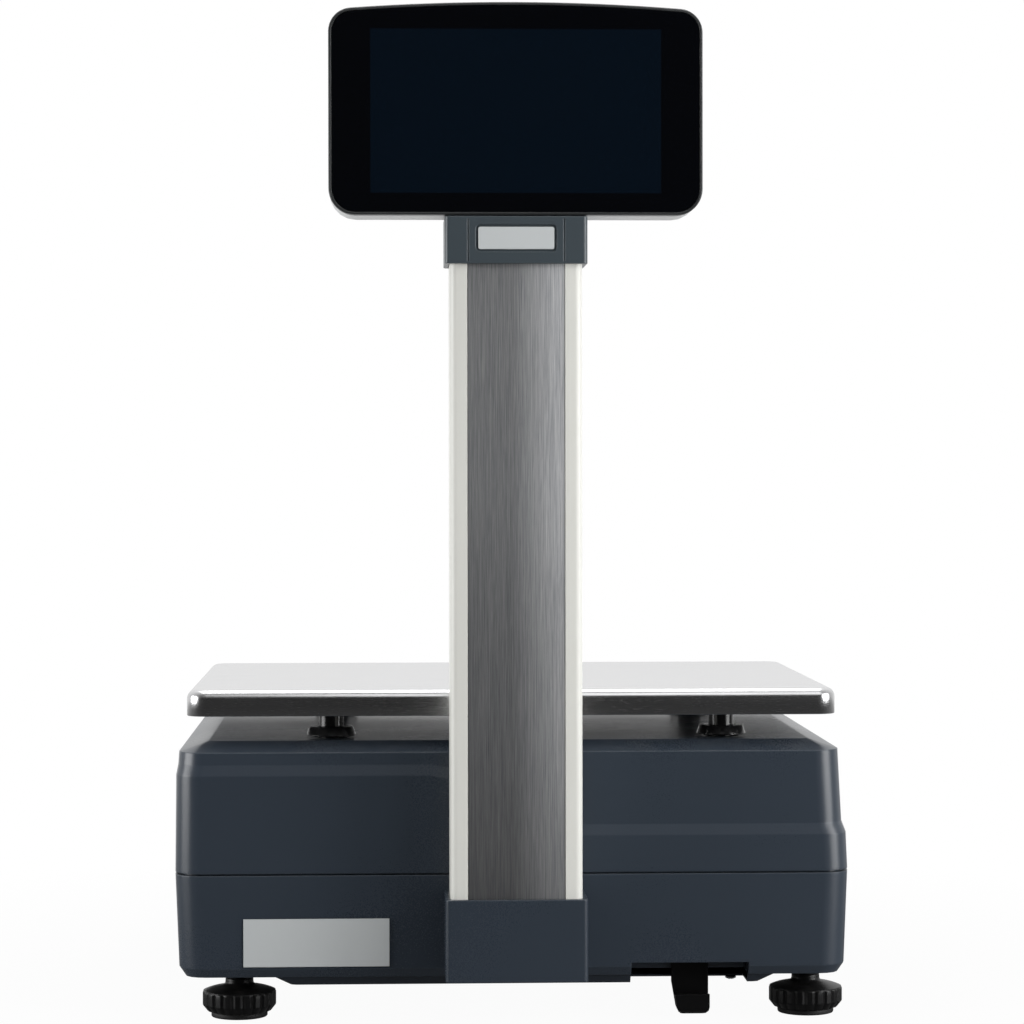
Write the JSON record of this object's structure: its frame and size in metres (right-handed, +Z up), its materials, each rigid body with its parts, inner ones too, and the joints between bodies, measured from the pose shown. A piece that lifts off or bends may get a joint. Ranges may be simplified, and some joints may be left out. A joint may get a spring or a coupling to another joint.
{
  "type": "label-printing counter scale with pole display",
  "caption": "Counter scale with a steel weighing platter, a label printer under a sloping console, levelling feet and a swivelling display head on a rear column.",
  "frame": {"origin": "middle of the footprint on the standing plane, under the levelling feet", "axes": "+Z up, -Y towards the customer's side with the column, +Y towards the operator's console, +X to the right as the customer sees it"},
  "size_m": [0.368, 0.4242, 0.5482],
  "materials": {
    "body_plastic": "moulded grey-blue plastic, fine texture",
    "black_plastic": "black moulded plastic",
    "rubber": "black rubber",
    "black_metal": "black anodised metal",
    "dark_paint": "dark blue-grey powder coat",
    "steel": "plain steel sheet",
    "satin_steel": "satin stainless steel",
    "aluminium": "machined aluminium",
    "white_paint": "off-white powder coat",
    "brushed_panel": "brushed along its length, clear coat",
    "silver_plastic": "silver-grey moulded plastic",
    "bezel_plastic": "dark grey plastic",
    "black_glass": "black gloss glass",
    "clear_glass": "clear vial",
    "screen": "unlit screen",
    "circuit_board": "green circuit board",
    "plate": "bare silver-grey plate",
    "paper": "white label paper on its liner",
    "overlay": "printed membrane"
  },
  "bodies": {
    "base": {"lower_housing": "body_plastic", "upper_housing": "body_plastic", "base_pan": "dark_paint", "chassis_plate": "aluminium", "cell_spacer_lower": "aluminium", "load_cell": "aluminium", "cell_spacer_upper": "aluminium", "spider": "aluminium", "cell_bolt_rear": "steel", "cell_bolt_front": "steel", "support_post_rear_left": "black_metal", "support_post_rear_right": "black_metal", "support_post_front_left": "black_metal", "support_post_front_right": "black_metal", "power_supply": "steel", "main_board": "circuit_board", "keypad_overlay": "overlay", "keypad_board": "circuit_board", "level_vial_housing": "black_plastic", "level_vial": "clear_glass", "cable_well": "black_plastic", "mains_inlet": "black_plastic", "network_socket": "black_plastic", "cord_hook": "black_plastic", "rating_plate": "plate", "printer_frame": "steel", "lid_hinge_pin": "steel", "print_head": "black_plastic", "tear_bar": "steel", "rocker_frame": "black_plastic", "column_extrusion": "white_paint", "column_panel_customer": "brushed_panel", "column_panel_operator": "brushed_panel", "column_shoe": "body_plastic", "shoe_screw_left": "steel", "shoe_screw_right": "steel", "column_collar": "body_plastic", "badge_plate": "plate"},
    "platter": {"platter": "satin_steel"},
    "head": {"head_back_shell": "silver_plastic", "display_bezel": "bezel_plastic", "display_glass": "black_glass", "lcd_panel": "screen", "head_board": "circuit_board", "operator_window": "black_glass", "operator_lcd": "screen", "swivel_spigot": "bezel_plastic"},
    "lid": {"printer_lid": "black_plastic"},
    "roll": {"label_roll": "paper", "roll_spindle": "black_plastic"},
    "platen": {"platen_roller": "rubber"},
    "rocker": {"power_rocker": "black_plastic"},
    "pad_rear_left": {"foot_pad_rear_left": "rubber"},
    "pad_rear_right": {"foot_pad_rear_right": "rubber"},
    "pad_front_left": {"foot_pad_front_left": "rubber"},
    "pad_front_right": {"foot_pad_front_right": "rubber"},
    "knob_rear_left": {"foot_knob_rear_left": "black_plastic"},
    "knob_rear_right": {"foot_knob_rear_right": "black_plastic"},
    "knob_front_left": {"foot_knob_front_left": "black_plastic"},
    "knob_front_right": {"foot_knob_front_right": "black_plastic"}
  },
  "joints": [
    {"name": "platter_lift", "type": "slide", "parent": "base", "child": "platter", "axis": [0, 0, 1], "range_m": [0, 0.06]},
    {"name": "head_swivel", "type": "hinge", "parent": "base", "child": "head", "pos_m": [0, -0.19015, 0.4356], "axis": [0, 0, 1], "range_deg": [-90, 90]},
    {"name": "printer_lid_hinge", "type": "hinge", "parent": "base", "child": "lid", "pos_m": [-0.124, 0.11116, 0.14224], "axis": [1, 0, 0], "range_deg": [0, 75]},
    {"name": "label_roll_spin", "type": "hinge", "parent": "base", "child": "roll", "pos_m": [-0.1245, 0.14895, 0.084], "axis": [1, 0, 0], "continuous": true},
    {"name": "platen_spin", "type": "hinge", "parent": "base", "child": "platen", "pos_m": [-0.1245, 0.19745, 0.099], "axis": [1, 0, 0], "continuous": true},
    {"name": "power_rocker_tilt", "type": "hinge", "parent": "base", "child": "rocker", "pos_m": [0.18279, 0.13715, 0.056], "axis": [0, 0, 1], "range_deg": [-16, 0]},
    {"name": "foot_travel_rear_left", "type": "slide", "parent": "base", "child": "pad_rear_left", "axis": [0, 0, -1], "range_m": [0, 0.00625]},
    {"name": "foot_turn_rear_left", "type": "hinge", "parent": "pad_rear_left", "child": "knob_rear_left", "pos_m": [-0.1503, -0.13285, 0.01], "axis": [0, 0, -1], "range_deg": [0, 1800]},
    {"name": "foot_travel_rear_right", "type": "slide", "parent": "base", "child": "pad_rear_right", "axis": [0, 0, -1], "range_m": [0, 0.00625]},
    {"name": "foot_turn_rear_right", "type": "hinge", "parent": "pad_rear_right", "child": "knob_rear_right", "pos_m": [0.1635, -0.13285, 0.01], "axis": [0, 0, -1], "range_deg": [0, 1800]},
    {"name": "foot_travel_front_left", "type": "slide", "parent": "base", "child": "pad_front_left", "axis": [0, 0, -1], "range_m": [0, 0.00625]},
    {"name": "foot_turn_front_left", "type": "hinge", "parent": "pad_front_left", "child": "knob_front_left", "pos_m": [-0.1503, 0.17715, 0.01], "axis": [0, 0, -1], "range_deg": [0, 1800]},
    {"name": "foot_travel_front_right", "type": "slide", "parent": "base", "child": "pad_front_right", "axis": [0, 0, -1], "range_m": [0, 0.00625]},
    {"name": "foot_turn_front_right", "type": "hinge", "parent": "pad_front_right", "child": "knob_front_right", "pos_m": [0.1635, 0.17715, 0.01], "axis": [0, 0, -1], "range_deg": [0, 1800]}
  ],
  "couplings": [
    {"joint": "platen_spin", "follows": "label_roll_spin", "ratio": 6},
    {"joint": "foot_travel_rear_left", "follows": "foot_turn_rear_left", "m_per_rad": 0.00019894},
    {"joint": "foot_travel_rear_right", "follows": "foot_turn_rear_right", "m_per_rad": 0.00019894},
    {"joint": "foot_travel_front_left", "follows": "foot_turn_front_left", "m_per_rad": 0.00019894},
    {"joint": "foot_travel_front_right", "follows": "foot_turn_front_right", "m_per_rad": 0.00019894}
  ]
}
